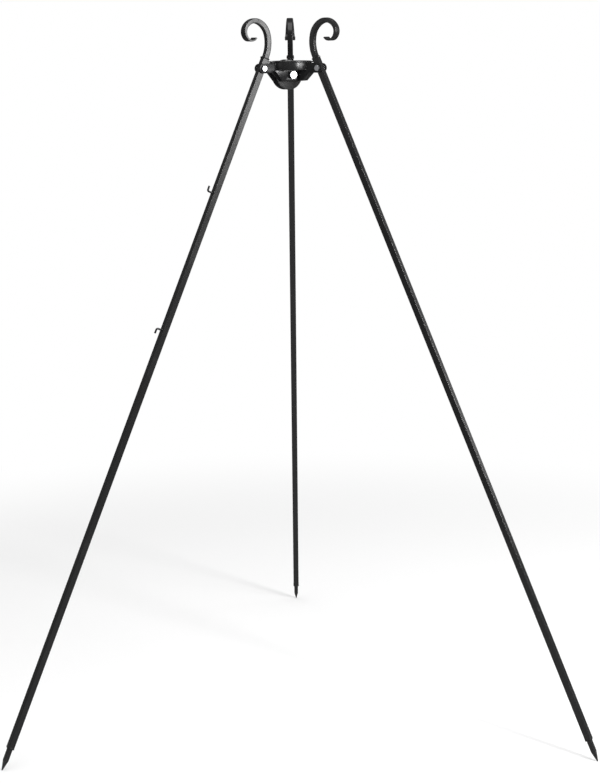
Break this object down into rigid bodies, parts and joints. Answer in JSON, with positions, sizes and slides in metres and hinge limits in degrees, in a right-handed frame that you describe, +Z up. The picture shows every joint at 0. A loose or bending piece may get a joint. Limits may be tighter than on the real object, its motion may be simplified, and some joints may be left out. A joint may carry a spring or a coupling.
{
  "type": "campfire tripod",
  "caption": "Folding campfire tripod with scroll-topped square-tube legs on spikes, a ring hub that holds a rope roller, and rope hooks on one leg.",
  "frame": {"origin": "on the ground, at the middle of the footprint's bounding box; the hub's axis is 0.211 m towards -Y", "axes": "+Z up; the back leg points along +Y; the left and right legs stand 120 degrees either side of it, towards -X and +X"},
  "size_m": [1.4668, 1.271, 1.7972],
  "materials": {
    "tube_paint": "satin black stove paint on drawn square tube",
    "forged_paint": "glossy black paint over hammered forged bar",
    "hub_paint": "glossy black paint on welded plate and ring",
    "roller_paint": "black paint on turned steel, worn in the groove",
    "spike_paint": "thin black paint, rubbed towards the point",
    "zinc_fastener": "bright zinc plate",
    "bronze_bush": "plain bearing bronze"
  },
  "bodies": {
    "hub": {"hub_ring": "hub_paint", "top_plate": "hub_paint", "left_cheek_front": "hub_paint", "left_cheek_rear": "hub_paint", "right_cheek_front": "hub_paint", "right_cheek_rear": "hub_paint", "back_cheek_left": "hub_paint", "back_cheek_right": "hub_paint", "right_clevis_floor": "hub_paint", "back_clevis_floor": "hub_paint", "roller_plate_front": "hub_paint", "roller_plate_rear": "hub_paint", "roller_axle_bolt": "zinc_fastener", "roller_axle_nut": "zinc_fastener", "roller_washers": "zinc_fastener", "left_pivot_bolt": "zinc_fastener", "right_pivot_bolt": "zinc_fastener", "back_pivot_bolt": "zinc_fastener", "left_pivot_nut": "zinc_fastener", "right_pivot_nut": "zinc_fastener", "back_pivot_nut": "zinc_fastener", "pivot_washers": "zinc_fastener"},
    "roller": {"rope_roller": "roller_paint", "roller_bush": "bronze_bush"},
    "left_leg": {"left_leg_tube": "tube_paint", "left_scroll": "forged_paint", "left_spike": "spike_paint", "upper_rope_hook": "forged_paint", "lower_rope_hook": "forged_paint"},
    "right_leg": {"right_leg_tube": "tube_paint", "right_scroll": "forged_paint", "right_spike": "spike_paint"},
    "back_leg": {"back_leg_tube": "tube_paint", "back_scroll": "forged_paint", "back_spike": "spike_paint"}
  },
  "joints": [
    {"name": "left_leg_fold", "type": "hinge", "parent": "hub", "child": "left_leg", "pos_m": [-0.07275, -0.25299, 1.67552], "axis": [0.5, -0.866, 0], "range_deg": [0, 24.4]},
    {"name": "right_leg_fold", "type": "hinge", "parent": "hub", "child": "right_leg", "pos_m": [0.07275, -0.25299, 1.67552], "axis": [0.5, 0.866, 0], "range_deg": [0, 24.4]},
    {"name": "back_leg_fold", "type": "hinge", "parent": "hub", "child": "back_leg", "pos_m": [0, -0.12699, 1.67552], "axis": [-1, 0, 0], "range_deg": [0, 24.4]},
    {"name": "roller_spin", "type": "hinge", "parent": "hub", "child": "roller", "pos_m": [-0.00953, -0.21649, 1.65902], "axis": [0.5, -0.866, 0], "continuous": true}
  ]
}
